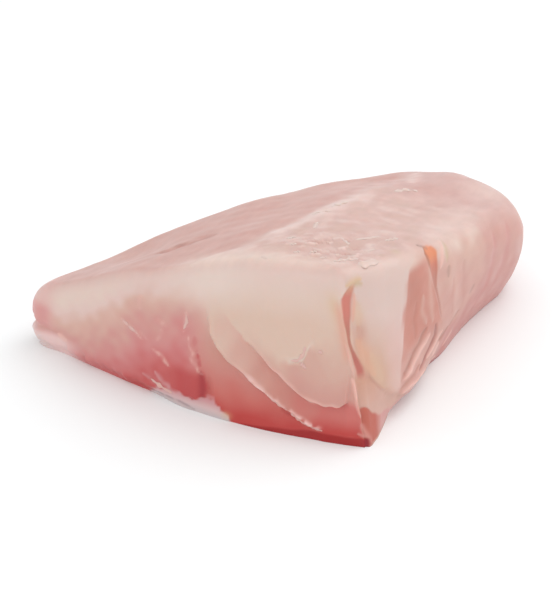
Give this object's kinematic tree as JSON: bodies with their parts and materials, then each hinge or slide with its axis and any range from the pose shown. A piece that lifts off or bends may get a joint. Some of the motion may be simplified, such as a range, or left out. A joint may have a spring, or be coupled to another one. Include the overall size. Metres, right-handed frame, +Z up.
{
  "type": "raw fish fillet portion",
  "caption": "Raw white fish fillet portion lying skin side down: a thick wedge with a flaky cut face, a split front corner, a rounded back and a thin blunt tip.",
  "frame": {"origin": "middle of the bounding box, on the flat skin side that the piece lies on", "axes": "+X along the longest extent, from the thin tip towards the rounded back, +Y away from the cut face's front corner, +Z up through the thickness"},
  "size_m": [0.1314, 0.0996, 0.0421],
  "materials": {
    "flesh": "moist raw flesh with a soft sheen, pale on top and pink to red towards the skin side"
  },
  "bodies": {
    "root": {"fillet": "flesh"}
  },
  "joints": []
}
